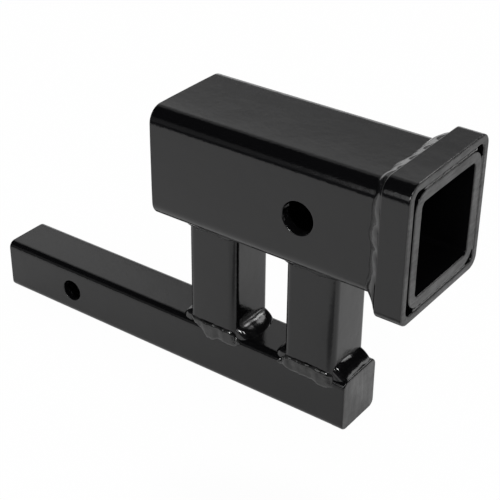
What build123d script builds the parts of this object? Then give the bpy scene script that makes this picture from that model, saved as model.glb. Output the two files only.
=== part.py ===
from build123d import *
import os

# Hitch receiver extender, a welded steel weldment. A square shank that slides into a small
# receiver carries two upright posts, and the posts carry a larger receiver tube with a collar
# round its mouth. Weld beads join the pieces, and each bead is a solid of its own.
# Lengths are in millimetres. +X runs along the shank towards the mouth, +Z is up, and the origin
# is the centre of the shank's pin hole.

# Shank: a square tube, open at its tail and closed by a plate at its other end
shank_side = 31.75
shank_wall = 4.0
shank_corner = 4.25
shank_tail = 141.3              # from the tail end to the rear post
shank_ledge = 7.95              # from the front post to the end of the shank
shank_hole = 13.0
shank_hole_inset = 51.0         # from the tail end to the hole's centre
end_plate_thickness = 5.0
end_plate_edge = 1.2            # rounding of the plate's outer edge
end_plate_groove = 2.0          # bevel on both sides of the joint between tube and plate

# Posts: two short lengths of the same kind of tube
post_side = 31.75
post_wall = 4.0
post_corner = 4.25
post_gap = 31.75                # clear space between the posts
post_height = 68.6

# Receiver tube
tube_side = 63.5
tube_wall = 6.0                 # leaves 51.5 clear inside, for a 50.8 mm square shank
tube_corner = 9.0
tube_rear_reach = 11.1          # how far it passes the rear post
tube_front_reach = 41.3         # how far it passes the end of the shank
tube_hole = 18.0
tube_hole_inset = 63.5          # from the mouth to the hole's centre
tube_hole_drop = 1.0            # the hole sits a little under the tube's middle

# Collar: a short sleeve round the mouth
collar_wall = 4.5
collar_clearance = 1.5          # gap all round between the sleeve and the tube
collar_length = 15.5
collar_corner = 6.5

least_corner = 0.5              # smallest inner corner of any tube

# Foot beads on the faces where post and shank are flush, front and back
flush_rise = 3.7                # up the post
flush_drop = 6.6                # down the shank
flush_crown = 1.7               # how far the bead's arc stands out across it
flush_bow = 2.3                 # middle of the wide arc that thins the bead towards its ends
flush_end = 0.5                 # how far it stands out at its ends
flush_root = 2.8                # how deep it fills the groove over the shank's round corner
flush_lap = 3.6                 # how far it passes the post at both ends

# Foot beads in the corners between the posts and the shank's top, left and right
side_reach = 9.0                # along the shank, at mid run
side_rise = 7.5                 # up the post, at mid run
side_crown = 0.8
side_end = 0.62                 # share of both legs that is left at the ends of the run
side_sink = 0.4                 # how far the rough bead passes into its neighbours' round corners
side_shy = 1.5                  # the bead on the ledge stops this far before the shank's end

# Head beads, between the posts and the receiver tube
head_drop = 8.0                 # down the post
head_reach = 6.4                # along the tube

# Beads of the collar: one behind it, all round, and three that fill the gap at the mouth
heel_reach = 8.0                # along the tube, behind the collar
heel_shy = 0.4                  # the bead stops this far below the collar's outer face
mouth_depth = 4.0
mouth_top_start = 7.0           # unfilled length at the front end of the top run
mouth_corner = 5.5              # unfilled length at the other corners, from the tube's faces

# Places that follow from the sizes
tail_x = -shank_hole_inset
rear_post_x = tail_x + shank_tail + post_side / 2
front_post_x = rear_post_x + post_side + post_gap
shank_end_x = front_post_x + post_side / 2 + shank_ledge
plate_x = shank_end_x - end_plate_thickness
shank_top = shank_side / 2
tube_bottom = shank_top + post_height
tube_z = tube_bottom + tube_side / 2
tube_rear_x = rear_post_x - post_side / 2 - tube_rear_reach
mouth_x = shank_end_x + tube_front_reach
collar_x = mouth_x - collar_length
collar_inside = tube_side + 2 * collar_clearance
collar_side = collar_inside + 2 * collar_wall
posts = {"rear_post": rear_post_x, "front_post": front_post_x}


# A square with rounded corners
def rounded_square(side, corner):
    return RectangleRounded(side, side, corner)


# Section of a square tube; its inner corners are never quite sharp
def tube_section(side, wall, corner):
    inside = rounded_square(side - 2 * wall, max(corner - wall, least_corner))
    return rounded_square(side, corner) - inside


# The plane across the part at a place along X, with Y to its right and Z up
def across(x, z=0.0):
    return Plane(origin=(x, 0, z), x_dir=(0, 1, 0), z_dir=(1, 0, 0))


# A round hole from front to back through a tube of the given side
def cross_hole(x, z, diameter, side):
    return Pos(x, 0, z) * Rot(90, 0, 0) * Cylinder(diameter / 2, side * 1.2)


# The shank: its tube with the pin hole, its end plate, and the bead ground flush in the bevel
def make_shank():
    tube = extrude(across(tail_x) * tube_section(shank_side, shank_wall, shank_corner), plate_x - tail_x)
    tube = chamfer(tube.faces().sort_by(Axis.X)[-1].outer_wire().edges(), end_plate_groove)
    tube -= cross_hole(0, 0, shank_hole, shank_side)
    plate = extrude(across(plate_x) * rounded_square(shank_side, shank_corner), end_plate_thickness)
    plate = chamfer(plate.faces().sort_by(Axis.X)[0].edges(), end_plate_groove)
    plate = fillet(plate.faces().sort_by(Axis.X)[-1].edges(), end_plate_edge)
    groove = across(plate_x - end_plate_groove) * tube_section(shank_side, end_plate_groove, shank_corner)
    bead = extrude(groove, 2 * end_plate_groove) - tube - plate
    return {"shank_tube": tube, "shank_end_plate": plate, "shank_end_plate_weld": bead}


# One post, seated on the shank's top and under the receiver tube
def make_post(x):
    level = Plane(origin=(x, 0, shank_top), x_dir=(1, 0, 0), z_dir=(0, 0, 1))
    return extrude(level * tube_section(post_side, post_wall, post_corner), post_height)


# The receiver tube with its pin hole, and the collar round its mouth
def make_receiver():
    section = tube_section(tube_side, tube_wall, tube_corner)
    tube = extrude(across(tube_rear_x, tube_z) * section, mouth_x - tube_rear_x)
    tube -= cross_hole(mouth_x - tube_hole_inset, tube_z - tube_hole_drop, tube_hole, tube_side)
    section = tube_section(collar_side, collar_wall, collar_corner)
    collar = extrude(across(collar_x, tube_z) * section, collar_length)
    return {"receiver_tube": tube, "mouth_collar": collar}


# Radius of an arc that falls back by the given amount at half its run from the middle
def arc_radius(half_run, fall):
    return (half_run ** 2 + fall ** 2) / (2 * fall)


# A foot bead on the front (facing -1) or back (facing 1) of a post, where post and shank are
# flush. Three profiles shape it: an arc across it, which also takes in its root, an arc seen from
# above, which thins its ends, and a wavy outline seen from the front. The neighbours are then cut
# away, which leaves the root in the groove between the post and the shank's round corner.
def make_flush_bead(x, facing, neighbours):
    half = post_side / 2 + flush_lap
    low = -flush_drop
    high = flush_rise
    face_y = facing * shank_side / 2
    deep = -flush_root
    spare = 2 * flush_root                              # the second and third profiles pass the first
    cap = ThreePointArc((0, high), (flush_crown, (high + low) / 2), (0, low))
    root = Polyline((0, low), (deep, low), (deep, high), (0, high))
    plane = Plane(origin=(x - facing * (half + spare), face_y, shank_top),
                  x_dir=(0, facing, 0), z_dir=(facing, 0, 0))
    bead = extrude(plane * make_face([cap] + root.edges()), 2 * (half + spare))
    cap = ThreePointArc((-half, flush_end), (0, flush_bow), (half, flush_end))
    root = Polyline((half, flush_end), (half + spare, flush_end), (half + spare, -spare),
                    (-half - spare, -spare), (-half - spare, flush_end), (-half, flush_end))
    plane = Plane(origin=(x, face_y, shank_top - 2 * flush_drop), x_dir=(facing, 0, 0), z_dir=(0, 0, 1))
    bead &= extrude(plane * make_face([cap] + root.edges()), 4 * flush_drop)
    # Places along the run, from -half to half, and shares of the drop and of the rise
    toe = Spline((-half, 0.5 * low), (-0.83 * half, 0.72 * low), (-0.45 * half, 0.93 * low),
                 (0, 0.82 * low), (0.5 * half, 0.94 * low), (0.86 * half, 0.74 * low), (half, 0.5 * low))
    top = Spline((half, 0.1 * low), (0.9 * half, 0.4 * high), (0.3 * half, 0.92 * high),
                 (-0.35 * half, 0.85 * high), (-0.9 * half, 0.4 * high), (-half, 0.1 * low))
    ends = [Line((half, 0.5 * low), (half, 0.1 * low)), Line((-half, 0.1 * low), (-half, 0.5 * low))]
    plane = Plane(origin=(x, face_y - facing * spare, shank_top), x_dir=(1, 0, 0), z_dir=(0, -1, 0))
    bead &= extrude(plane * make_face([toe, top] + ends), -facing * (spare + 2 * flush_crown))
    for neighbour in neighbours:
        bead -= neighbour
    return bead


# A foot bead in the corner between the shank's top and a post's left (-1) or right (1) face: an
# arc section along the run, and a large cylinder that leaves it fullest at mid run. It ends at the
# roots of the flush beads and never passes the end of the shank.
def make_side_bead(x, facing, neighbours):
    wall = x + facing * post_side / 2
    reach = min(side_reach, shank_end_x - side_shy - wall)
    half = shank_side / 2 - flush_root
    lean = (reach ** 2 + side_rise ** 2) ** 0.5
    outward = Vector(side_rise / lean, 0, reach / lean)
    height = reach * side_rise / lean                   # from the inner corner to the line between the toes
    middle = (reach / 2 + side_crown * outward.X, side_rise / 2 + side_crown * outward.Z)
    face = ThreePointArc((0, side_rise), middle, (reach, 0))
    back = Polyline((reach, 0), (reach, -side_sink), (-side_sink, -side_sink), (-side_sink, side_rise),
                    (0, side_rise))
    plane = Plane(origin=(0, half, 0), x_dir=(1, 0, 0), z_dir=(0, -1, 0))
    bead = extrude(plane * make_face([face] + back.edges()), 2 * half)
    radius = arc_radius(half, side_crown + (1 - side_end) * height)
    axis = Plane(origin=outward * (height + side_crown - radius),
                 x_dir=(0, 1, 0), z_dir=(-reach, 0, side_rise))
    bead &= axis * Cylinder(radius, 6 * lean)
    if facing == -1:
        bead = mirror(bead, Plane.YZ)
    bead = Pos(wall, 0, shank_top) * bead
    for neighbour in neighbours:
        bead -= neighbour
    return bead


# Section of a bead in an inner corner: local x runs along the floor, away from the wall, and y up
# the wall
def corner_section(reach, rise):
    return make_face(Polyline((0, rise), (0, 0), (reach, 0), (0, rise)))


# One side of a bead that runs round a square tube, up to the diagonal planes through its corners.
# The frame lies on the face that the tube meets, with its Z away from that face along the tube.
def ring_side(frame, turn, side, corner, section):
    straight = side / 2 - corner
    place = Plane(origin=(side / 2, straight, 0), x_dir=(1, 0, 0), z_dir=(0, -1, 0))
    start = place * section
    end = Pos(0, -2 * straight, 0) * start
    bead = extrude(start, 2 * straight)
    bead += revolve(start, Axis((straight, straight, 0), (0, 0, 1)), 45)
    bead += revolve(end, Axis((straight, -straight, 0), (0, 0, -1)), 45)
    return frame * Rot(0, 0, turn) * bead


# The four head beads between a post and the receiver tube
def make_head_beads(name, x):
    frame = Plane(origin=(x, 0, tube_bottom), x_dir=(1, 0, 0), z_dir=(0, 0, -1))
    section = corner_section(head_reach, head_drop)
    turns = {"right": 0, "front": 90, "left": 180, "back": 270}
    return {f"{name}_head_weld_{side}": ring_side(frame, turn, post_side, post_corner, section)
            for side, turn in turns.items()}


# The four beads behind the collar, between its rear face and the tube
def make_heel_beads():
    frame = Plane(origin=(collar_x, 0, tube_z), x_dir=(0, 1, 0), z_dir=(-1, 0, 0))
    section = corner_section(collar_clearance + collar_wall - heel_shy, heel_reach)
    turns = {"back": 0, "bottom": 90, "front": 180, "top": 270}
    return {f"collar_heel_weld_{side}": ring_side(frame, turn, tube_side, tube_corner, section)
            for side, turn in turns.items()}


# The three beads that fill the gap between tube and collar at the mouth. The front side and the
# corners stay open, as on the real thing.
def make_mouth_beads():
    plane = across(mouth_x - mouth_depth, tube_z)
    gap = rounded_square(collar_inside, collar_corner - collar_wall)
    gap -= rounded_square(tube_side, tube_corner)
    ring = extrude(plane * gap, mouth_depth)
    far = tube_side / 2 - mouth_corner
    near = tube_side / 2 - mouth_top_start
    # Turn of the window about the tube's axis, and where the run starts and ends along it
    runs = {"back": (0, -far, far), "top": (90, -far, near), "bottom": (270, -far, far)}
    beads = {}
    for side, (turn, start, end) in runs.items():
        window = Pos(tube_side / 2, (start + end) / 2) * Rectangle(4 * collar_clearance, end - start)
        beads[f"collar_mouth_weld_{side}"] = ring & extrude(plane * Rot(0, 0, turn) * window, mouth_depth)
    return beads


nodes = make_shank()
nodes.update(make_receiver())
for name, x in posts.items():
    post = make_post(x)
    nodes[name] = post
    base = [nodes["shank_tube"], nodes["shank_end_plate"], nodes["shank_end_plate_weld"], post]
    for facing, side in ((-1, "front"), (1, "back")):
        nodes[f"{name}_foot_weld_{side}"] = make_flush_bead(x, facing, base)
    for facing, side in ((-1, "left"), (1, "right")):
        nodes[f"{name}_foot_weld_{side}"] = make_side_bead(x, facing, base)
    nodes.update(make_head_beads(name, x))
nodes.update(make_heel_beads())
nodes.update(make_mouth_beads())

os.makedirs("parts", exist_ok=True)
for name, solid in nodes.items():
    export_step(solid, f"parts/{name}.step")
    size = solid.bounding_box().size
    print(f"{name}: {len(solid.solids())} solid, {solid.volume:.0f} mm3,",
          f"{size.X:.1f} x {size.Y:.1f} x {size.Z:.1f}")
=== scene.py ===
import math
import bmesh
import bpy
import numpy as np
from mathutils import Matrix


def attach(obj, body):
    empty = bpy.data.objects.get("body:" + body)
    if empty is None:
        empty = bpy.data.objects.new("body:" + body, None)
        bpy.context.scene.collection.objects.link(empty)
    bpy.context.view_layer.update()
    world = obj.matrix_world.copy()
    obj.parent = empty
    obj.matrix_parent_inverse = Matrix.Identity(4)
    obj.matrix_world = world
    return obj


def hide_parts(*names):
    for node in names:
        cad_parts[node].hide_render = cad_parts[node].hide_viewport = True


# Hitch receiver extender, coated gloss black. The sizes of its pieces are in millimetres, in the
# part's own frame, and a mesh gets them in metres. Coats, floor and lamps are given in metres.
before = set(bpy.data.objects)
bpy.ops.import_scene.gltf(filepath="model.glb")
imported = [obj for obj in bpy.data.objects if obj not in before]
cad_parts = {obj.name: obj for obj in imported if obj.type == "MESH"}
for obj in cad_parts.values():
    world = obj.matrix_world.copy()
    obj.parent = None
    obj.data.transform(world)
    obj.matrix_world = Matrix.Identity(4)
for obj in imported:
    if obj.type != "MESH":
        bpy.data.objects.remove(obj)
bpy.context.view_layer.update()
mm = 0.001
print("frame loaded,", len(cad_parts), "nodes")

# Shared shape helpers


# Vectors of length one.
def unit(v):
    return v / np.maximum(np.linalg.norm(v, axis=-1, keepdims=True), 1e-9)


# Lines across a run from start to end: the given marks, a support line a little inside each end,
# and even steps of about the given length between them.
def runLines(start, end, marks, step, support=0.35):
    stops = sorted({start, start + support, end - support, end, *marks})
    lines = []
    for low, high in zip(stops[:-1], stops[1:]):
        parts = max(1, int(round((high - low) / step)))
        lines.extend(np.linspace(low, high, parts + 1)[:-1])
    lines.append(end)
    return np.array(lines)


# A square loop with rounded corners at the distance inset inside its outer face. It starts on the
# right-hand face. A face falls back by sag * (place / half width) ** 4 from its middle, and the
# corner circle starts with the lean that the face ends with, so every inset has the same points.
# The four corners, each after its face, may differ from the radius that the lines were made for.
# A hollow gives the depth from which on the wall's inner side has a corner radius of its own.
def squareLoop(half, corner, lines, arcSteps, inset, sag=0.0, corners=None, hollow=None):
    inset = np.atleast_1d(np.asarray(inset, float))[:, None]
    share = (lines / (half - corner))[None, :]
    reach = half - inset
    corners = [np.full(inset.shape, c) for c in corners or [corner] * 4]
    if hollow:
        corners = [np.where(inset > hollow[0], inset + hollow[1], c) for c in corners]
    parts = []
    for quarter in range(4):
        after = np.minimum(half - corners[quarter], reach)
        before = np.minimum(half - corners[quarter - 1], reach)
        lean = 4 * sag / (half - corners[quarter])
        radius = np.maximum(corners[quarter] - sag - inset, 0.0) / (np.cos(lean) - np.sin(lean))
        centre = after - radius * np.sin(lean)
        face, flat = reach - sag * share ** 4, np.where(share > 0, after, before) * share
        turn = lean + (math.pi / 2 - 2 * lean) * np.linspace(0, 1, arcSteps + 1)[1:-1][None, :]
        a = math.radians(90 * quarter)
        c, s = math.cos(a), math.sin(a)
        u = np.concatenate([face, centre + radius * np.cos(turn)], axis=1)
        v = np.concatenate([flat, centre + radius * np.sin(turn)], axis=1)
        parts.append(np.stack([c * u - s * v, s * u + c * v], axis=2))
    return np.concatenate(parts, axis=1)


# Points of loops that are carried to places along X, one loop to a place.
def carriedLoops(places, loops):
    along = np.broadcast_to(places[:, None, None], loops.shape[:2] + (1,))
    return np.concatenate([along, loops], axis=2)


# Quads of a grid of rows by columns, each direction closed on itself or not.
def gridQuads(rows, columns, closeRows, closeColumns):
    i = np.arange(rows if closeRows else rows - 1)
    j = np.arange(columns if closeColumns else columns - 1)
    i, j = np.meshgrid(i, j, indexing="ij")
    i2, j2 = (i + 1) % rows, (j + 1) % columns
    quads = np.stack([i * columns + j, i * columns + j2, i2 * columns + j2, i2 * columns + j], axis=2)
    return quads.reshape(-1, 4)


# Turns points and faces into a closed mesh: doubles are merged, faces are turned outwards, and the
# piece rides on the part in place of the CAD node of the same name. Finishes give each face the
# number of its material.
def makePiece(name, points, faces, materials, finishes=None):
    mergeReach, sharpFrom = 0.002 * mm, math.radians(40)
    mesh = bpy.data.meshes.new(name)
    mesh.from_pydata((np.asarray(points, float) * mm).tolist(), [], [list(map(int, f)) for f in faces])
    for material in materials:
        mesh.materials.append(material)
    if finishes is not None:
        mesh.polygons.foreach_set("material_index", np.asarray(finishes, np.int32))
    body = bmesh.new()
    body.from_mesh(mesh)
    bmesh.ops.remove_doubles(body, verts=body.verts, dist=mergeReach)
    bmesh.ops.recalc_face_normals(body, faces=body.faces)
    if body.calc_volume(signed=True) < 0:
        bmesh.ops.reverse_faces(body, faces=body.faces)
    openEdges = sum(1 for e in body.edges if len(e.link_faces) != 2)
    body.to_mesh(mesh)
    body.free()
    mesh.polygons.foreach_set("use_smooth", np.ones(len(mesh.polygons), bool))
    mesh.set_sharp_from_angle(angle=sharpFrom)
    mesh.update()
    piece = bpy.data.objects.new(name + "_coated", mesh)
    bpy.context.scene.collection.objects.link(piece)
    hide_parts(name)
    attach(piece, "root")
    if openEdges:
        print("  open edges on", name, openEdges)


# Quarter-circle rounding of a rim: distances along the tube and inwards, both from 0 to radius.
def rimArc(radius, steps=5):
    a = np.radians(np.linspace(0, 90, steps + 1))[1:-1]
    return radius * np.sin(a), radius * (1 - np.cos(a))


# Materials

# Adds a shader node. Traits are set on the node, values on its inputs, and sources linked into them.
def addNode(tree, kind, values=None, sources=None, **traits):
    node = tree.nodes.new("ShaderNode" + kind)
    for trait, value in traits.items():
        setattr(node, trait, value)
    for socket, value in (values or {}).items():
        node.inputs[socket].default_value = value
    for socket, source in (sources or {}).items():
        tree.links.new(source, node.inputs[socket])
    return node


# Lengths are in metres here, and a scale counts the waves to a metre.
coatLook = {"baseColour": (0.0026, 0.0026, 0.0029, 1), "specularLevel": 0.46,
            "roughness": 0.085, "roughnessSpread": 0.06, "peelScale": 380.0, "peelHeight": 0.00007,
            "grainScale": 1300.0, "grainHeight": 0.00004, "dustScale": 2600.0}
# The cut ends and the ground plate get a lighter base colour than the gloss coat. Their streaked mottling
# and roughness are the coat's own, but the lift in colour is a painted sheen for the light those faces
# catch.
endSheenLook = {"baseColour": (0.025, 0.025, 0.026, 1), "specularLevel": 0.76,
           "streakScale": (0.3, 0.15, 0.8), "streakHeight": 0.0005, "streakTone": 0.02,
           "roughness": 0.34, "roughnessSpread": 0.22, "peelScale": 700.0, "peelHeight": 0.00010,
           "grainScale": 1900.0, "grainHeight": 0.00004, "dustScale": 3000.0}
plateSheenLook = dict(endSheenLook, baseColour=(0.048, 0.048, 0.049, 1), streakScale=(0.3, 0.6, 0.08),
                 streakHeight=0.0002)
beadLook = {"baseColour": (0.0036, 0.0036, 0.0039, 1), "specularLevel": 0.60,
            "roughness": 0.075, "roughnessSpread": 0.06, "peelScale": 300.0, "peelHeight": 0.00004,
            "grainScale": 1300.0, "grainHeight": 0.000015, "dustScale": 3600.0}
# The flush beads look mottled, with pale patches a few millimetres long.
flushLook = dict(beadLook, baseColour=(0.011, 0.011, 0.0114, 1), streakTone=0.0105,
                 streakScale=(0.45, 0.7, 0.9), streakHeight=0.00012)
# What all coats share: bands are the noise values that a range starts and ends at, and drift and
# swell are noises at a share of the peel's scale.
coatPattern = {"driftShare": 0.08, "driftBand": (0.3, 0.7), "swellShare": 0.12, "swellHeight": 4,
               "dustBand": (0.62, 0.78), "dustRoughness": 0.12, "streakBand": (0.35, 0.65)}


# Gloss coat over steel: a fine orange peel, a slow swell and a grain in the bump, and a roughness
# that drifts with a broad noise and is speckled by dust. A look with streaks also has a stretched
# noise, as a brushed or mottled colour of base plus or minus streakTone and as the last bump.
def makeCoat(name, look):
    material = bpy.data.materials.new(name)
    material.use_nodes = True
    tree = material.node_tree
    shader = tree.nodes["Principled BSDF"]
    shader.inputs["Base Color"].default_value = look["baseColour"]
    shader.inputs["Specular IOR Level"].default_value = look["specularLevel"]
    shader.inputs["IOR"].default_value = 1.5
    place = addNode(tree, "TexCoord").outputs["Object"]

    # Noise from 0 to 1 over the piece's own places, with about scale waves to a metre.
    def noise(scale, detail, roughness, vector=place):
        values = {"Scale": scale, "Detail": detail, "Roughness": roughness}
        return addNode(tree, "TexNoise", values, {"Vector": vector}).outputs["Fac"]

    # Values of the band spread evenly from low to high, and held there outside it.
    def ranged(source, band, low, high):
        values = {"From Min": band[0], "From Max": band[1], "To Min": low, "To Max": high}
        return addNode(tree, "MapRange", values, {"Value": source}).outputs["Result"]

    # The normal tilted by the slope of height times distance.
    def bump(height, distance, sources):
        values = {"Strength": 1.0, "Distance": distance}
        return addNode(tree, "Bump", values, {"Height": height, **sources}).outputs["Normal"]

    drift = ranged(noise(look["peelScale"] * coatPattern["driftShare"], 3.0, 0.6), coatPattern["driftBand"],
                   look["roughness"], look["roughness"] + look["roughnessSpread"])
    dust = ranged(noise(look["dustScale"], 2.0, 0.7), coatPattern["dustBand"], 0.0,
                  coatPattern["dustRoughness"])
    rough = addNode(tree, "Math", {}, {0: drift, 1: dust}, operation="ADD")
    tree.links.new(rough.outputs["Value"], shader.inputs["Roughness"])

    normal = bump(noise(look["peelScale"] * coatPattern["swellShare"], 2.0, 0.5),
                  look["peelHeight"] * coatPattern["swellHeight"], {})
    normal = bump(noise(look["peelScale"], 3.0, 0.55), look["peelHeight"], {"Normal": normal})
    normal = bump(noise(look["grainScale"], 2.0, 0.6), look["grainHeight"], {"Normal": normal})
    if "streakScale" in look:
        stretch = addNode(tree, "Mapping", {"Scale": look["streakScale"]}, {"Vector": place})
        streak = noise(look["peelScale"], 4.0, 0.65, stretch.outputs["Vector"])
        base, tone = look["baseColour"][0], look["streakTone"]
        paint = ranged(streak, coatPattern["streakBand"], base - tone, base + tone)
        tree.links.new(paint, shader.inputs["Base Color"])
        normal = bump(streak, look["streakHeight"], {"Normal": normal})
    tree.links.new(normal, shader.inputs["Normal"])
    return material


glossCoat = makeCoat("gloss_black_coat", coatLook)
endSheenCoat = makeCoat("coat_with_painted_sheen_on_cut_end", endSheenLook)
beadCoat = makeCoat("coat_on_weld", beadLook)
plateSheenCoat = makeCoat("coat_with_painted_sheen_on_ground_plate", plateSheenLook)
flushCoat = makeCoat("coat_on_flush_weld", flushLook)
print("materials made")

# Square tubes

# Half width, wall and corner radius of each tube, its start and end along X, and how far its flat
# faces fall back towards their edges
shank = {"half": 15.875, "wall": 4.0, "corner": 4.25, "start": -51.0, "end": 188.5, "bevel": 2.0,
         "rim": 0.5, "sag": 0.05}
shankHole = {"x": 0.0, "drop": 0.0, "radius": 6.5, "rim": 0.5, "window": 9.5}
receiver = {"half": 31.75, "wall": 6.0, "corner": 9.0, "start": 79.2, "end": 234.8,
            "centreZ": 116.225, "rim": 0.7, "sag": 0.13}
receiverHole = {"x": 171.3, "drop": 1.0, "radius": 9.0, "rim": 0.6, "window": 14.0}
collar = {"half": 37.75, "wall": 4.5, "corner": 6.5, "corners": (6.5, 8.6, 6.5, 7.0),
          "hollow": (2.0, 4.2), "start": 219.3, "end": 234.8, "rim": 1.0, "sag": 0.08}
post = {"half": 15.875, "wall": 4.0, "corner": 4.25, "foot": 15.875, "head": 84.475, "rim": 0.3,
        "sag": 0.05, "rear": 106.175, "front": 169.675}
# Lines of a tube's mesh: steps across a flat face, the support lines at its edges, the flat strip
# beside a rim, the share of a rim that has the cut end's finish, steps of a hole's window, and the
# rows of its ring as shares of the way from the hole's rim to the window
tubeMesh = {"flatSteps": 6, "support": 0.4, "land": 0.3, "cutShare": 0.45, "windowSteps": 16,
            "windowRows": (1.0, 0.72, 0.46, 0.22, 0.06)}


# A closed square tube: a rounded square carried round the section of its wall, out along the
# outside, over the rounded rim, back along the inside and over the other rim. Where a pin hole
# crosses the front and back walls a square window is left out and filled by holeRing. Faces on
# the cut ends get finish 1, the coat with a painted sheen, the rest 0.
def tubeGrid(tube, hole=None, bevelEnd=0.0, arcSteps=14, runStep=14.0):
    half, wall, corner, rim = tube["half"], tube["wall"], tube["corner"], tube["rim"]
    start, end, flat = tube["start"], tube["end"], half - corner
    land, cut = tubeMesh["land"], tubeMesh["cutShare"] * rim
    marks, crossMarks = (), ()
    if hole:
        grid = np.linspace(-hole["window"], hole["window"], tubeMesh["windowSteps"] + 1)
        marks, crossMarks = tuple(hole["x"] + grid), tuple(grid)
    lines = runLines(-flat, flat, crossMarks, 2 * flat / tubeMesh["flatSteps"], tubeMesh["support"])
    rimX, rimIn = rimArc(rim)
    if bevelEnd:
        outer = runLines(start + rim, end - bevelEnd, marks, runStep)
        lip = [(end, bevelEnd)]
    else:
        outer = runLines(start + rim, end - rim, marks, runStep)
        lip = list(zip(end - rim + rimX, rimIn)) + [(end, rim), (end, rim + land)]
    inner = runLines(start + rim, end - rim, marks, runStep)[::-1]
    section = [(x, 0.0) for x in outer] + lip
    section += [(end, wall - rim - land), (end, wall - rim)]
    section += list(zip(end - rimIn, wall - rim + rimX))
    section += [(x, wall) for x in inner]
    section += list(zip(start + rimIn[::-1], wall - rim + rimX[::-1]))
    section += [(start, wall - rim), (start, wall - rim - land), (start, rim + land), (start, rim)]
    section += list(zip(start + rim - rimX[::-1], rimIn[::-1]))
    along, depth = np.array(section).T
    loops = squareLoop(half, corner, lines, arcSteps, depth, tube["sag"], tube.get("corners"),
                       tube.get("hollow"))
    rows, columns = loops.shape[:2]
    points = carriedLoops(along, loops).reshape(-1, 3)
    quads = gridQuads(rows, columns, True, True)
    ends = (along > end - cut) | (along < start + cut)
    finish = np.repeat((ends & np.roll(ends, -1)).astype(int), columns)
    if hole:
        middle = points[quads].mean(axis=1)
        aside = np.abs(middle[:, [0, 2]] - [hole["x"], 0.0])
        keep = np.any(aside >= hole["window"], axis=1)
        quads, finish = quads[keep], finish[keep]
    return points, quads, finish


# The wall round a pin hole: a ring of rows that starts as the window's square on the outer face,
# closes in to the hole's circle, rolls over its rounded rim, runs through the wall, and opens out
# to the square again on the inner face. It follows the face as that falls back.
def holeRing(tube, hole, facing):
    w, r, rim, wall = hole["window"], hole["radius"], hole["rim"], tube["wall"]
    step = np.linspace(-w, w, tubeMesh["windowSteps"] + 1)
    side = np.full(tubeMesh["windowSteps"], w)
    square = np.concatenate([np.stack([step[:-1], -side], 1), np.stack([side, step[:-1]], 1),
                             np.stack([step[:0:-1], side], 1), np.stack([-side, step[:0:-1]], 1)])
    ray, middle = unit(square), np.array([0.0, -hole["drop"]])
    rows, depths = [], []
    for share in tubeMesh["windowRows"]:
        rows.append(square * share + (middle + ray * (r + rim)) * (1 - share))
        depths.append(0.0)
    for a in np.linspace(0, math.pi / 2, 7):
        rows.append(middle + ray * (r + rim - rim * math.sin(a)))
        depths.append(rim * (1 - math.cos(a)))
    rows, depths = np.array(rows + rows[::-1]), np.array(depths)
    depths = np.concatenate([depths, wall - depths[::-1]])
    rise = rows[:, :, 1]
    fall = tube["sag"] * (rise / (tube["half"] - tube["corner"])) ** 4
    y = facing * (tube["half"] - depths[:, None] - fall)
    points = np.stack([hole["x"] + rows[:, :, 0], y, rise], axis=2)
    return points.reshape(-1, 3), gridQuads(len(rows), len(square), False, True)


# A tube lifted to its height. A pin hole adds its ring in the front wall and in the back wall.
def addTube(name, tube, hole=None, bevelEnd=0.0, lift=0.0, **steps):
    points, quads, finish = tubeGrid(tube, hole, bevelEnd, **steps)
    if hole:
        for facing in (-1, 1):
            ring, ringQuads = holeRing(tube, hole, facing)
            quads = np.concatenate([quads, ringQuads + len(points)])
            finish = np.concatenate([finish, np.zeros(len(ringQuads), int)])
            points = np.concatenate([points, ring])
    makePiece(name, points + np.array([0.0, 0.0, lift]), quads, [glossCoat, endSheenCoat], finish)


addTube("shank_tube", shank, shankHole, bevelEnd=shank["bevel"], arcSteps=10)
addTube("receiver_tube", receiver, receiverHole, lift=receiver["centreZ"], arcSteps=18)
addTube("mouth_collar", collar, lift=receiver["centreZ"], arcSteps=14, runStep=4.0)


# A post is the same tube stood on end: its length runs up, and its section lies flat.
def addPost(name, centreX):
    upright = dict(post, start=post["foot"], end=post["head"])
    points, quads, finish = tubeGrid(upright, arcSteps=10)
    points = np.stack([centreX + points[:, 1], points[:, 2], points[:, 0]], axis=1)
    makePiece(name, points, quads, [glossCoat, endSheenCoat], 0 * finish)


addPost("rear_post", post["rear"])
addPost("front_post", post["front"])
print("tubes and posts made")

# End plate and its ground weld

# Its lands are the flat strips beside the front edge, beside the weld and beside the bevel.
endPlate = {"back": 188.5, "front": 193.5, "edge": 1.2, "bevel": 2.0, "rings": (12.0, 8.0, 4.4, 2.4),
            "lands": (0.25, 0.2, 0.3), "groundRows": 9, "lineStep": 2.4, "arcSteps": 10}


# The shank's rounded square, drawn in by each depth and carried to its place along X.
def plateLoops(along, depth):
    flat = shank["half"] - shank["corner"]
    lines = runLines(-flat, flat, (), endPlate["lineStep"], tubeMesh["support"])
    loops = squareLoop(shank["half"], shank["corner"], lines, endPlate["arcSteps"], depth)
    return carriedLoops(along, loops)


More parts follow.
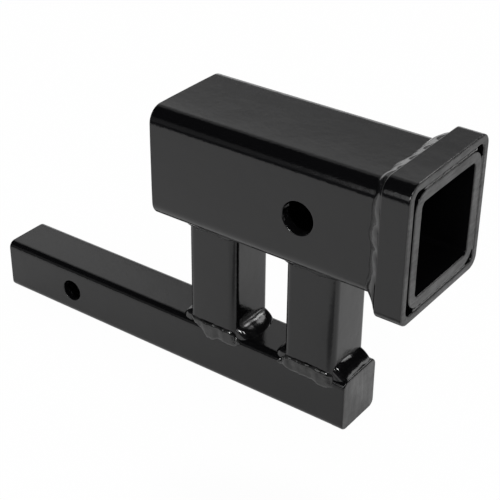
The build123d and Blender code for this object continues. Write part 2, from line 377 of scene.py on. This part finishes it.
# The plate is a rounded square carried over a profile from the middle of its front face, out over
# the rounded edge, along the side, down the bevel and back to the middle of its rear face. Its
# front face and most of the edge are ground and get the lighter coat, whose lift is a painted sheen.
def addEndPlate():
    half, front, back = shank["half"], endPlate["front"], endPlate["back"]
    edge, bevel = endPlate["edge"], endPlate["bevel"]
    edgeLand, weldLand, bevelLand = endPlate["lands"]
    a = np.radians(np.linspace(0, 90, 8))
    profile = [(front, depth) for depth in (half, *endPlate["rings"], edge + edgeLand)]
    profile += list(zip(front - edge * (1 - np.cos(a)), edge * (1 - np.sin(a))))
    profile += [(back + bevel + weldLand, 0.0), (back + bevel, 0.0)]
    profile += [(back, bevel), (back, bevel + bevelLand), (back, half)]
    points = plateLoops(*np.array(profile).T)
    rows, columns = points.shape[:2]
    finish = np.repeat((np.arange(rows - 1) < endPlate["groundRows"]).astype(int), columns)
    quads = gridQuads(rows, columns, False, True)
    makePiece("shank_end_plate", points.reshape(-1, 3), quads, [glossCoat, plateSheenCoat], finish)


# The weld between tube and plate fills the bevel and is ground flush: a rounded square carried
# round a three-sided section.
def addEndPlateWeld():
    bevel = endPlate["bevel"]
    across = np.linspace(-bevel, bevel, 9)
    points = plateLoops(endPlate["back"] + np.append(across, 0.0), np.append(0 * across, bevel))
    quads = gridQuads(*points.shape[:2], True, True)
    makePiece("shank_end_plate_weld", points.reshape(-1, 3), quads, [glossCoat])


addEndPlate()
addEndPlateWeld()
print("end plate made")

# Weld beads

flushForm = {"ripplePitch": 2.3, "rippleHeight": 0.03, "rippleBow": 1.6, "lumpHeight": 0.27,
             "lumpWave": 11.0, "fullness": 4.4}
filletForm = {"ripplePitch": 3.2, "rippleHeight": 0.003, "rippleBow": 2.0, "lumpHeight": 0.10,
              "lumpWave": 19.0, "fullness": 2.2}
headForm = {"ripplePitch": 2.4, "rippleHeight": 0.08, "rippleBow": 1.6, "lumpHeight": 0.20,
            "lumpWave": 9.0, "fullness": 2.2}
# How every bead's ripples drift in place and height along the run, the mean that the scallops are
# lowered by, how lumps slant over the bead and enter its crown, and how both fade to the toes
beadDrift = {"place": 0.35, "placeWave": 5.3, "height": 0.4, "heightWave": 9.0, "scallopMean": 0.64,
             "lumpSlant": 2.5, "lumpInCrown": 0.25, "fade": 0.8}


# A slow wander along the run, of about the given wave: a sum of three sine waves with phases from
# the seed.
def wander(run, seed, wave):
    total = 0
    for height, share, phase in ((0.5, 1.0, 0.9), (0.3, 0.57, 2.3), (0.2, 1.83, 4.1)):
        total = total + height * np.sin(2 * np.pi * run / (share * wave) + phase * (seed + 1))
    return total


# Surface of a bead between its two toes. A point at share t across is A(1 - t) + B t, raised along
# the outward normal by crown * (1 - |2t - 1|^fullness), by lumps, and by ripples: rounded scallops
# whose valleys bow forward along the run at mid width. Rows lie closer together near the toes.
def beadRows(run, toeA, toeB, outward, crown, seed, form, across=22):
    t = 0.5 - 0.5 * np.cos(np.pi * np.linspace(0, 1, across))[None, :, None]
    body = 4 * t * (1 - t)
    swellUp = 1 - np.abs(2 * t - 1) ** form["fullness"]
    s = run[:, None, None]
    bowed = s + form["rippleBow"] * body
    phase = (bowed + beadDrift["place"] * wander(s, seed + 5, beadDrift["placeWave"])) / form["ripplePitch"]
    scallop = np.abs(np.sin(np.pi * phase)) - beadDrift["scallopMean"]
    drift = 1 + beadDrift["height"] * wander(s, seed + 9, beadDrift["heightWave"])
    ripple = form["rippleHeight"] * scallop * drift
    lump = form["lumpHeight"] * wander(s + beadDrift["lumpSlant"] * t, seed, form["lumpWave"])
    height = crown[:, None, None] * (swellUp + beadDrift["lumpInCrown"] * lump)
    height = height + (ripple + lump) * body ** beadDrift["fade"]
    return toeA[:, None, :] * (1 - t) + toeB[:, None, :] * t + outward[:, None, :] * height


# Share of its full height that a bead has at the distance edge from its end: a quarter circle.
def endTaper(edge, length):
    return np.sqrt(np.clip(1 - (1 - np.clip(edge / length, 0, 1)) ** 2, 0, 1))


# A bead as a closed mesh: its surface rows, the underside points that lead back from the second
# toe to the first, and a fan over each end.
def closeBead(name, surface, underside, coat=beadCoat):
    grid = np.concatenate([surface, underside], axis=1)
    rows, columns = grid.shape[:2]
    quads = gridQuads(rows, columns, False, True).tolist()
    middles = np.stack([grid[0].mean(axis=0), grid[-1].mean(axis=0)])
    points = np.concatenate([grid.reshape(-1, 3), middles])
    first, last = np.full(columns, rows * columns), np.full(columns, rows * columns + 1)
    ring = np.arange(columns)
    after, base = (ring + 1) % columns, (rows - 1) * columns
    fans = np.concatenate([np.stack([ring, after, first], 1),
                           np.stack([base + after, base + ring, last], 1)])
    makePiece(name, points, quads + fans.tolist(), [coat])


# Half width of the shank's or a post's rounded square at the distance c from its middle line: the
# flat's half width plus the rise of the corner circle, root(corner^2 - past^2).
def cornerReach(c):
    flat, corner = shank["half"] - shank["corner"], shank["corner"]
    past = np.clip(np.abs(c) - flat, 0, corner)
    return flat + np.sqrt(corner ** 2 - past ** 2)


# Smooth curve through measured places: linear interpolation softened by a short moving average.
def throughPlaces(x, places, soft=1.2):
    xs, ys = np.array(places).T
    shifts = (-1, -0.5, 0, 0.5, 1)
    return sum(np.interp(x + shift * soft, xs, ys) for shift in shifts) / len(shifts)


# Lower and upper toes of the foot beads, as places along X from the post's middle and heights
footBeads = {
    "rear_post_foot_weld_front": {
        "facing": -1, "centre": post["rear"], "start": -16.6, "end": 19.6, "seed": 1, "crown": 1.35,
        "lower": [(-17, 17.8), (-15.5, 16.2), (-11.3, 14.6), (-6.4, 12.8), (-3.6, 8.7), (1.3, 8.0),
                  (3.4, 10.6), (9.0, 9.7), (15.2, 9.8), (19.3, 12.6), (20, 13.2)],
        "upper": [(-17, 18.4), (-15.2, 19.4), (0, 19.6), (12, 19.5), (14.6, 18.6), (16.4, 15.2),
                  (20, 13.6)]},
    "front_post_foot_weld_front": {
        "facing": -1, "centre": post["front"], "start": -19.6, "end": 16.6, "seed": 2, "crown": 1.35,
        "lower": [(-20, 12.6), (-19.3, 12.1), (-14.1, 11.7), (-10.8, 10.5), (-5.6, 10.1), (0.8, 10.4),
                  (3.4, 10.2), (8.5, 8.5), (12.3, 8.6), (15.4, 10.3), (17, 11.5)],
        "upper": [(-20, 13.4), (-17.0, 15.4), (-15.2, 18.4), (-13, 19.4), (0, 19.8), (10, 19.4),
                  (14, 18.6), (15.6, 17.0), (17, 12.6)]},
    "rear_post_foot_weld_back": {
        "facing": 1, "centre": post["rear"], "start": -18.5, "end": 18.5, "seed": 3, "crown": 1.3,
        "lower": [(-19, 13.0), (-15, 10.6), (-9, 9.2), (-2, 10.2), (5, 9.0), (11, 9.6), (16, 11.0),
                  (19, 13.4)],
        "upper": [(-19, 13.4), (-16.4, 15.3), (-14.6, 18.5), (0, 19.6), (14.6, 18.4), (16.4, 15.3),
                  (19, 13.8)]},
    "front_post_foot_weld_back": {
        "facing": 1, "centre": post["front"], "start": -18.5, "end": 18.5, "seed": 4, "crown": 1.3,
        "lower": [(-19, 13.2), (-14, 11.0), (-8, 9.0), (-1, 9.8), (6, 9.2), (12, 10.2), (16, 11.4),
                  (19, 13.0)],
        "upper": [(-19, 13.6), (-16.4, 15.3), (-14.6, 18.3), (0, 19.7), (14.6, 18.5), (16.4, 15.3),
                  (19, 13.4)]},
}
# Rows along the run, height and wave of each toe's wander, least width, the nearest that a toe on
# the post's corner comes to the middle plane, the heights where the surface's and the underside's
# points pass from shank to post, the tapered length, the share of its width that an end row keeps,
# how deep the underside lies below the faces, how far it may stand out over the chord, and its
# places from toe to toe
flushBead = {"rows": 130, "lowWander": (0.25, 5.0), "highWander": (0.18, 6.0), "leastWidth": 0.3,
             "nearest": 13.4, "postFrom": 15.3, "underPostFrom": 15.6, "taper": 3.0, "endShare": 0.2,
             "inset": 0.06, "overChord": 3.0, "under": (0.04, 0.3, 0.5, 0.7, 0.96)}


# A foot bead on the flush faces of post and shank. Its section lies across X; the lower toe is on
# the shank's face and the upper one on the post's face or, past the post, on the shank's corner.
# The toe on the post is at the post's corner reach for that place along the run.
def addFlushBead(name, spec):
    run = np.linspace(spec["start"], spec["end"], flushBead["rows"])
    lowHeight, lowWave = flushBead["lowWander"]
    highHeight, highWave = flushBead["highWander"]
    low = throughPlaces(run, spec["lower"]) + lowHeight * wander(run, spec["seed"], lowWave)
    high = throughPlaces(run, spec["upper"]) + highHeight * wander(run, spec["seed"] + 20, highWave)
    high = np.maximum(high, low + flushBead["leastWidth"])
    f, x = spec["facing"], spec["centre"] + run
    onPost, onShank = np.maximum(cornerReach(run), flushBead["nearest"]), cornerReach(low)
    depthB = np.where(high > flushBead["postFrom"], onPost, cornerReach(high))
    toeA = np.stack([x, f * onShank, low], 1)
    toeB = np.stack([x, f * depthB, high], 1)
    chord = unit(toeB - toeA)
    outward = unit(np.stack([0 * x, f * chord[:, 2], -f * chord[:, 1]], 1))
    taper = endTaper(np.minimum(run - spec["start"], spec["end"] - run), flushBead["taper"])
    surface = beadRows(run, toeA, toeB, outward, spec["crown"] * taper, spec["seed"], flushForm)
    for end in (0, -1):
        surface[end] = surface[end] * flushBead["endShare"] + toeA[end] * (1 - flushBead["endShare"])
    share = np.array(flushBead["under"])[None, :]
    z = high[:, None] * (1 - share) + low[:, None] * share
    y = np.where(z > flushBead["underPostFrom"], onPost[:, None], cornerReach(z)) - flushBead["inset"]
    behind = depthB[:, None] * (1 - share) + onShank[:, None] * share
    y = np.minimum(y, behind + flushBead["overChord"])
    underside = np.stack([np.broadcast_to(x[:, None], z.shape), f * y, z], axis=2)
    closeBead(name, surface, underside, flushCoat)


# Fillets between the shank's top and the left (-1) or right (1) face of a post: reach along the
# shank and rise up the post, as places along Y
sideBeads = {
    "rear_post_foot_weld_right": {
        "facing": 1, "centre": post["rear"], "seed": 5, "crown": 0.8,
        "reach": [(-15, 6.0), (-12, 7.2), (-8, 8.4), (-1, 9.1), (4, 8.7), (8, 8.0), (12, 6.4), (15, 5.0)],
        "rise": [(-15, 5.4), (-7, 5.8), (2, 6.0), (11, 5.8), (15, 4.8)]},
    "rear_post_foot_weld_left": {
        "facing": -1, "centre": post["rear"], "seed": 6, "crown": 0.8,
        "reach": [(-15, 4.5), (-11, 6.8), (-4, 8.0), (3, 7.6), (10, 6.2), (15, 4.0)],
        "rise": [(-15, 3.6), (-9, 5.6), (-2, 7.4), (6, 6.6), (11, 5.4), (15, 3.6)]},
    "front_post_foot_weld_right": {
        "facing": 1, "centre": post["front"], "seed": 7, "crown": 0.6,
        "reach": [(-15, 6.2), (-8, 7.0), (0, 6.9), (8, 6.9), (15, 6.0)],
        "rise": [(-15, 5.4), (-12, 6.4), (-6, 6.9), (1, 6.6), (8, 6.0), (12.6, 5.2), (15, 4.0)]},
    "front_post_foot_weld_left": {
        "facing": -1, "centre": post["front"], "seed": 8, "crown": 0.8,
        "reach": [(-15, 5.0), (-10, 7.2), (-3, 8.0), (4, 7.2), (10, 6.0), (15, 4.0)],
        "rise": [(-15, 3.8), (-8, 6.4), (0, 7.4), (7, 6.4), (12, 5.0), (15, 3.6)]},
}


# Rows along the run and half its length, softening of the measured places, height and waves of the
# toes' wander, the tapered length, the share of reach and rise that an end keeps, how deep the
# underside lies below the faces, its width beside the corner, and its outermost share of the toes
sideBead = {"rows": 110, "halfRun": 14.4, "soft": 2.0, "wander": 0.07, "reachWave": 12.0,
            "riseWave": 13.0, "taper": 3.0, "endShare": 0.25, "inset": 0.06, "beside": 0.8,
            "outermost": 0.6}


# A fillet bead along Y. Its lower toe is on the shank's top at the reach from the post's face, its
# upper toe on the post's face at the rise above the shank; both follow the tubes' round corners.
def addSideBead(name, spec):
    half, seed, g = shank["half"], spec["seed"], spec["facing"]
    run = np.linspace(-sideBead["halfRun"], sideBead["halfRun"], sideBead["rows"])
    taper = endTaper(sideBead["halfRun"] - np.abs(run), sideBead["taper"])
    close = sideBead["endShare"] + (1 - sideBead["endShare"]) * taper
    reachDrift = sideBead["wander"] * wander(run, seed, sideBead["reachWave"])
    riseDrift = sideBead["wander"] * wander(run, seed + 20, sideBead["riseWave"])
    reach = close * (throughPlaces(run, spec["reach"], sideBead["soft"]) + reachDrift)
    rise = close * (throughPlaces(run, spec["rise"], sideBead["soft"]) + riseDrift)
    wall = cornerReach(run)
    toeA = np.stack([spec["centre"] + g * (half + reach), run, wall], 1)
    toeB = np.stack([spec["centre"] + g * wall, run, half + rise], 1)
    chord = unit(toeB - toeA)
    outward = unit(np.stack([g * chord[:, 2], 0 * run, -g * chord[:, 0]], 1))
    surface = beadRows(run, toeA, toeB, outward, spec["crown"] * taper, seed, filletForm)
    x = spec["centre"] + g * (wall - sideBead["inset"])
    foot = wall - sideBead["inset"]
    outermost, beside = sideBead["outermost"], sideBead["beside"]
    under = [(x, half + outermost * rise), (x, foot + beside), (x, foot), (x + g * beside, foot),
             (spec["centre"] + g * (half + outermost * reach), foot)]
    underside = np.stack([np.stack([place, run, height], 1) for place, height in under], axis=1)
    closeBead(name, surface, underside)


for beadName, beadSpec in footBeads.items():
    addFlushBead(beadName, beadSpec)
for beadName, beadSpec in sideBeads.items():
    addSideBead(beadName, beadSpec)
print("foot beads made")


# Path round a square with rounded corners, cut at the diagonals into four equal runs: places,
# outward directions and the distance along each run. Turn 0 faces the first axis.
def ringQuarter(half, corner, turn, n):
    flat = half - corner
    arc = math.pi / 4 * corner
    s = np.linspace(-flat - arc, flat + arc, n)
    past = np.clip(np.abs(s) - flat, 0, arc) / max(corner, 1e-6) * np.sign(s)
    a = past + math.radians(turn)
    centre = np.clip(s, -flat, flat)
    base = np.stack([np.full(n, flat), centre], 1)
    c, k = math.cos(math.radians(turn)), math.sin(math.radians(turn))
    base = np.stack([c * base[:, 0] - k * base[:, 1], k * base[:, 0] + c * base[:, 1]], 1)
    out = np.stack([np.cos(a), np.sin(a)], 1)
    return s, base + corner * out, out


# Waves round a ring: each is height * sin(2 pi * count * place / length + phase + share * seed).
def ringWaves(place, length, waves, seed=0):
    total = 0
    for height, count, phase, share in waves:
        total = total + height * np.sin(2 * np.pi * count * place / length + phase + share * seed)
    return total


# Underside of a bead in an inner corner: half-way points on both faces, and the corner itself.
def cornerUnderside(toeA, toeB, corner):
    return np.stack([0.5 * (toeB + corner), corner, 0.5 * (toeA + corner)], axis=1)


# Waves are heights, counts round the ring, phases, and shares of the seed that move the phases on.
headBead = {"drop": 8.2, "reach": 6.2, "crown": 0.4, "quarter": 29.0, "length": 119.68, "rows": 90,
            "reachWaves": ((0.5, 9, 0, 0), (0.3, 17, 0, 1)), "dropWaves": ((0.5, 8, 1.0, 1),),
            "inset": (0.05, 0.03)}


# Head beads: rings between a post and the tube above it, toes on the post and on the tube.
def addHeadBeads(postName, centreX, seed):
    length, (inset, lift) = headBead["length"], headBead["inset"]
    for side, turn in {"right": 0, "back": 90, "left": 180, "front": 270}.items():
        s, place, out = ringQuarter(post["half"], post["corner"], turn, headBead["rows"])
        along = s + turn / 90 * headBead["quarter"]
        reach = headBead["reach"] + ringWaves(along, length, headBead["reachWaves"], seed)
        drop = headBead["drop"] + ringWaves(along, length, headBead["dropWaves"], seed)
        foot = np.full(len(s), post["head"])
        place = place + np.array([centreX, 0.0])
        toeA = np.column_stack([place + out * reach[:, None], foot])
        toeB = np.column_stack([place, foot - drop])
        outward = unit(np.column_stack([out * drop[:, None], -reach]))
        surface = beadRows(along, toeA, toeB, outward, np.full(len(s), headBead["crown"]), seed, headForm)
        corner = np.column_stack([place - out * inset, foot + lift])
        closeBead(f"{postName}_head_weld_{side}", surface, cornerUnderside(toeA, toeB, corner))


addHeadBeads("rear_post", post["rear"], 11)
addHeadBeads("front_post", post["front"], 12)

# The bead stays shy of the collar's outer faces, rises towards the collar's lower front corner, at
# lowCorner round the ring, and is hollow there.
heelBead = {"shy": 0.12, "reach": 7.3, "height": 5.35, "crown": 0.7, "topCrown": 0.25, "lowCorner": 149.1,
            "lowWidth": 7.0, "lowRise": 3.2, "lowHollow": 1.1, "rows": 220, "inset": (0.2, 0.03),
            "reachWaves": ((0.55, 7, 0, 0), (0.35, 17, 0.6, 0), (0.12, 29, 2, 0)),
            "heightWaves": ((0.25, 19, 1, 0), (0.12, 37, 0, 0))}
heelForm = {"ripplePitch": 3.4, "rippleHeight": 0.012, "rippleBow": 2.2, "lumpHeight": 0.28,
            "lumpWave": 14.0, "fullness": 2.2}


# Heel beads: rings behind the collar, toes on the tube's face and on the collar's rear face. The
# rise at the low corner is lowRise * exp(-(distance from it / lowWidth)^2).
def addHeelBeads():
    z, rear, limit = receiver["centreZ"], collar["start"], collar["half"] - heelBead["shy"]
    inset, lift = heelBead["inset"]
    quarter = 2 * (receiver["half"] - receiver["corner"]) + math.pi / 2 * receiver["corner"]
    for side, turn in {"back": 0, "top": 90, "front": 180, "bottom": 270}.items():
        s, place, out = ringQuarter(receiver["half"], receiver["corner"], turn, heelBead["rows"])
        place = place + np.array([0.0, z])
        along = s + turn / 90 * quarter
        reach = heelBead["reach"] + ringWaves(along, 4 * quarter, heelBead["reachWaves"])
        low = np.exp(-((along - heelBead["lowCorner"]) / heelBead["lowWidth"]) ** 2)
        height = heelBead["height"] + ringWaves(along, 4 * quarter, heelBead["heightWaves"])
        height = height + heelBead["lowRise"] * low
        toeA = np.column_stack([rear - reach, place])
        toeB = np.column_stack([np.full(len(s), rear), place + out * height[:, None]])
        outward = unit(np.column_stack([-height, out * reach[:, None]]))
        crown = heelBead["crown"] - heelBead["lowHollow"] * low
        if side == "top":
            crown = crown + heelBead["topCrown"]
        surface = beadRows(along, toeA, toeB, outward, crown, 0, heelForm)
        surface[:, :, 1] = np.clip(surface[:, :, 1], -limit, limit)
        surface[:, :, 2] = np.clip(surface[:, :, 2], z - limit, z + limit)
        corner = np.column_stack([np.full(len(s), rear + lift), place - out * inset])
        closeBead(f"collar_heel_weld_{side}", surface, cornerUnderside(toeA, toeB, corner))


addHeelBeads()

mouthBead = {"face": 234.35, "back": 230.8, "crown": 0.18, "inner": 31.72, "outer": 33.28,
             "rows": 110, "across": 10, "wander": 0.10, "wave": 4.0, "taper": 1.5, "shy": 0.02,
             "levelSeed": 31, "seed": 33}
mouthForm = {"ripplePitch": 2.4, "rippleHeight": 0.10, "rippleBow": 0.9, "lumpHeight": 0.14,
             "lumpWave": 6.0, "fullness": 2.0}
mouthRuns = {"back": (0, -26.2, 26.2), "top": (90, -26.2, 24.7), "bottom": (270, -26.2, 26.2)}


# Mouth beads: straight runs that fill the gap between tube and collar, a little under flush. A
# point is out * distance + along * place, turned round the receiver's middle line by the turn.
def addMouthBeads():
    for side, (turn, start, end) in mouthRuns.items():
        s = np.linspace(start, end, mouthBead["rows"])
        c, k = math.cos(math.radians(turn)), math.sin(math.radians(turn))

        def at(x, distance):
            y, z = c * distance - k * s, k * distance + c * s
            return np.column_stack([x + 0 * s, y, receiver["centreZ"] + z])

        level = mouthBead["wander"] * wander(s, mouthBead["levelSeed"] + turn / 90, mouthBead["wave"])
        toeA = at(mouthBead["face"] + level, mouthBead["inner"])
        toeB = at(mouthBead["face"] + level, mouthBead["outer"])
        outward = np.tile([1.0, 0.0, 0.0], (len(s), 1))
        crown = mouthBead["crown"] * endTaper(np.minimum(s - start, end - s), mouthBead["taper"])
        surface = beadRows(s, toeA, toeB, outward, crown, mouthBead["seed"] + turn / 90, mouthForm,
                           mouthBead["across"])
        surface[:, :, 0] = np.minimum(surface[:, :, 0], receiver["end"] - mouthBead["shy"])
        underside = np.stack([at(mouthBead["back"], mouthBead["outer"]),
                              at(mouthBead["back"], mouthBead["inner"])], axis=1)
        closeBead(f"collar_mouth_weld_{side}", surface, underside)


addMouthBeads()
print("collar beads made")

# Floor, world and lamps

# In metres. White and shine are the shares of the floor that the camera and the gloss see as white.
# A painted shadow makes the floor dark within a band of the way out from its centre to its reach.
studio = {"floorX": (-1.1, 1.1), "floorY": (-0.44, 1.2), "floorZ": -0.015875, "whiteShare": 0.98,
          "shineShare": 0.35, "nearColour": (0.05, 0.05, 0.055, 1), "hazeColour": (0.004, 0.004, 0.005, 1),
          "hazeBand": (0.5, 0.70), "softLight": 0.35, "floorColour": 0.88, "shadowPatchColour": 0.02,
          "shadowPatchCentre": (0.228, -0.098, -0.015875), "shadowPatchReach": (0.11, 0.05, 1.0), "shadowPatchBand": (0.4, 1.0),
          "target": (0.09, 0.0, 0.06)}


# The floor: paper to the light, mixed with plain white by whiteShare for the camera's rays and by
# shineShare for the gloss. A painted shadow darkens the paper round one place in front of the mouth,
# by the distance from its centre over its reach; the gloss sees it most.
def makeFloor():
    (x0, x1), (y0, y1), z = studio["floorX"], studio["floorY"], studio["floorZ"]
    mesh = bpy.data.meshes.new("floor")
    mesh.from_pydata([(x0, y0, z), (x1, y0, z), (x1, y1, z), (x0, y1, z)], [], [(0, 1, 2, 3)])
    floor = bpy.data.objects.new("floor", mesh)
    bpy.context.scene.collection.objects.link(floor)
    material = bpy.data.materials.new("pale_floor")
    material.use_nodes = True
    tree = material.node_tree
    tree.nodes.clear()
    place = addNode(tree, "TexCoord").outputs["Object"]
    # Painted shadow: the paper turns dark near one place in front of the mouth, standing in for the object's
    # shadow as the gloss sees it.
    spread = addNode(tree, "Mapping", {"Location": studio["shadowPatchCentre"], "Scale": studio["shadowPatchReach"]},
                     {"Vector": place}, vector_type="TEXTURE")
    away = addNode(tree, "VectorMath", {}, {0: spread.outputs["Vector"]}, operation="LENGTH")
    shadowPatchStart, shadowPatchEnd = studio["shadowPatchBand"]
    shades = {"From Min": shadowPatchStart, "From Max": shadowPatchEnd, "To Min": studio["shadowPatchColour"],
              "To Max": studio["floorColour"]}
    shade = addNode(tree, "MapRange", shades, {"Value": away.outputs["Value"]},
                    interpolation_type="SMOOTHSTEP")
    paper = addNode(tree, "BsdfDiffuse", {}, {"Color": shade.outputs["Result"]})
    white = addNode(tree, "Emission", {"Strength": 1.0})
    path = addNode(tree, "LightPath").outputs
    seen = addNode(tree, "Math", {1: studio["whiteShare"]}, {0: path["Is Camera Ray"]},
                   operation="MULTIPLY")
    shine = addNode(tree, "Math", {1: studio["shineShare"]},
                    {0: path["Is Glossy Ray"], 2: seen.outputs["Value"]}, operation="MULTIPLY_ADD")
    mix = addNode(tree, "MixShader", {}, {"Fac": shine.outputs["Value"], 1: paper.outputs["BSDF"],
                                          2: white.outputs["Emission"]})
    addNode(tree, "OutputMaterial", {}, {"Surface": mix.outputs["Shader"]})
    floor.data.materials.append(material)


makeFloor()


# The room: white to the camera, a dark ceiling to the gloss, and a soft grey light for the rest.
# The gloss sees nearColour at the horizon and hazeColour above, by the height of the direction.
def makeRoom():
    world = bpy.data.worlds.new("studio_room")
    bpy.context.scene.world = world
    world.use_nodes = True
    tree = world.node_tree
    tree.nodes.clear()
    place = addNode(tree, "TexCoord").outputs["Generated"]
    split = addNode(tree, "SeparateXYZ", {}, {"Vector": place})
    height = addNode(tree, "MapRange", {"From Min": -1, "From Max": 1}, {"Value": split.outputs["Z"]})
    ramp = addNode(tree, "ValToRGB", {}, {"Fac": height.outputs["Result"]})
    low, high = ramp.color_ramp.elements
    low.position, high.position = studio["hazeBand"]
    low.color, high.color = studio["nearColour"], studio["hazeColour"]
    glossy = addNode(tree, "Background", {}, {"Color": ramp.outputs["Color"]})
    soft = addNode(tree, "Background", {"Color": (1, 1, 1, 1), "Strength": studio["softLight"]})
    white = addNode(tree, "Background", {"Color": (1, 1, 1, 1)})
    path = addNode(tree, "LightPath").outputs
    unseen = addNode(tree, "MixShader", {}, {"Fac": path["Is Glossy Ray"], 1: soft.outputs["Background"],
                                             2: glossy.outputs["Background"]})
    seen = addNode(tree, "MixShader", {}, {"Fac": path["Is Camera Ray"], 1: unseen.outputs["Shader"],
                                           2: white.outputs["Background"]})
    addNode(tree, "OutputWorld", {}, {"Surface": seen.outputs["Shader"]})


makeRoom()

# Lamps: azimuth from the back towards the mouth's side and elevation in degrees, distance and size
# in metres, radiance, how far its left end is turned down, and whether the gloss shows it
lamps = {
    "back_sheet": {"azimuth": -35, "elevation": 26, "distance": 2.4, "size": (3.0, 1.75), "radiance": 0.30},
    "back_step": {"azimuth": -35, "elevation": 45.0, "distance": 2.3, "size": (3.0, 1.40), "radiance": 0.17,
                  "roll": 17},
    "back_high": {"azimuth": -35, "elevation": 46.0, "distance": 2.2, "size": (3.0, 1.30), "radiance": 0.19,
                  "roll": 17},
    "back_low": {"azimuth": -35, "elevation": 8, "distance": 2.2, "size": (3.0, 0.72), "radiance": 0.9},
    "back_left": {"azimuth": -66, "elevation": 33, "distance": 2.0, "size": (1.5, 0.65), "radiance": 0.13},
    "edge_wide": {"azimuth": -143, "elevation": 12, "distance": 1.5, "size": (0.62, 0.58), "radiance": 0.17},
    "edge_box": {"azimuth": -170, "elevation": 16, "distance": 1.5, "size": (0.58, 0.62), "radiance": 1.5},
    "spark_box": {"azimuth": 171, "elevation": 26, "distance": 1.5, "size": (0.26, 0.34), "radiance": 24.0},
    "key_box": {"azimuth": 132, "elevation": 44, "distance": 1.4, "size": (0.22, 0.22), "radiance": 24.0},
    "right_box": {"azimuth": 24, "elevation": 39, "distance": 2.0, "size": (0.34, 0.34), "radiance": 3.2},
    "streak_box": {"azimuth": 12, "elevation": 44, "distance": 2.0, "size": (0.2, 0.44), "radiance": 7.5},
    "right_low": {"azimuth": 44, "elevation": 8, "distance": 2.0, "size": (0.9, 0.24), "radiance": 2.0},
    "ceiling": {"azimuth": -45, "elevation": 84, "distance": 2.2, "size": (2.0, 2.0), "radiance": 0.80,
                "inGloss": False},
}


# An area lamp that looks at the studio's target from its azimuth and elevation and is rolled about
# that line. Its watts are radiance * pi * width * height.
def addLamp(name, spec):
    az, el, roll = np.radians([spec["azimuth"], spec["elevation"], spec.get("roll", 0)])
    toward = np.array([math.sin(az) * math.cos(el), math.cos(az) * math.cos(el), math.sin(el)])
    data = bpy.data.lights.new(name, "AREA")
    data.shape = "RECTANGLE"
    data.size, data.size_y = spec["size"]
    data.energy = spec["radiance"] * math.pi * data.size * data.size_y
    lamp = bpy.data.objects.new(name, data)
    side = unit(np.cross([0, 0, 1.0], toward))
    rise = np.cross(toward, side)
    rolledSide = math.cos(roll) * side - math.sin(roll) * rise
    rolledRise = math.sin(roll) * side + math.cos(roll) * rise
    pose = Matrix(np.column_stack([rolledSide, rolledRise, toward]).tolist()).to_4x4()
    pose.translation = np.array(studio["target"]) + toward * spec["distance"]
    lamp.matrix_world = pose
    lamp.visible_glossy = spec.get("inGloss", True)
    bpy.context.scene.collection.objects.link(lamp)


for lampName, lampSpec in lamps.items():
    addLamp(lampName, lampSpec)
print("studio made")

# Camera

camera = {"azimuth": 35.8448, "elevation": 30.9327, "roll": 0.5204, "right": 97.6231, "up": 17.8356,
          "distance": 794.99, "alongShank": 0.2, "lens": 93.832, "sensor": 36, "clip": (0.01, 50)}


# The camera looks along a direction given by azimuth and elevation, is rolled a little, and stands
# at right, up and distance along its own three axes.
def makeCamera():
    az, el, roll = np.radians([camera["azimuth"], camera["elevation"], camera["roll"]])
    back = np.array([math.sin(az) * math.cos(el), -math.cos(az) * math.cos(el), math.sin(el)])
    right = np.array([math.cos(az), math.sin(az), 0.0])
    up = np.cross(back, right)
    rolledRight = math.cos(roll) * right + math.sin(roll) * up
    rolledUp = -math.sin(roll) * right + math.cos(roll) * up
    place = rolledRight * camera["right"] + rolledUp * camera["up"] + back * camera["distance"]
    place = place + np.array([camera["alongShank"], 0, 0])
    data = bpy.data.cameras.new("photo_camera")
    data.lens = camera["lens"]
    data.sensor_width = camera["sensor"]
    data.clip_start, data.clip_end = camera["clip"]
    eye = bpy.data.objects.new("photo_camera", data)
    pose = Matrix(np.column_stack([rolledRight, rolledUp, back]).tolist()).to_4x4()
    pose.translation = place * mm
    eye.matrix_world = pose
    bpy.context.scene.collection.objects.link(eye)
    bpy.context.scene.camera = eye


makeCamera()
bpy.context.scene.view_settings.view_transform = "Standard"
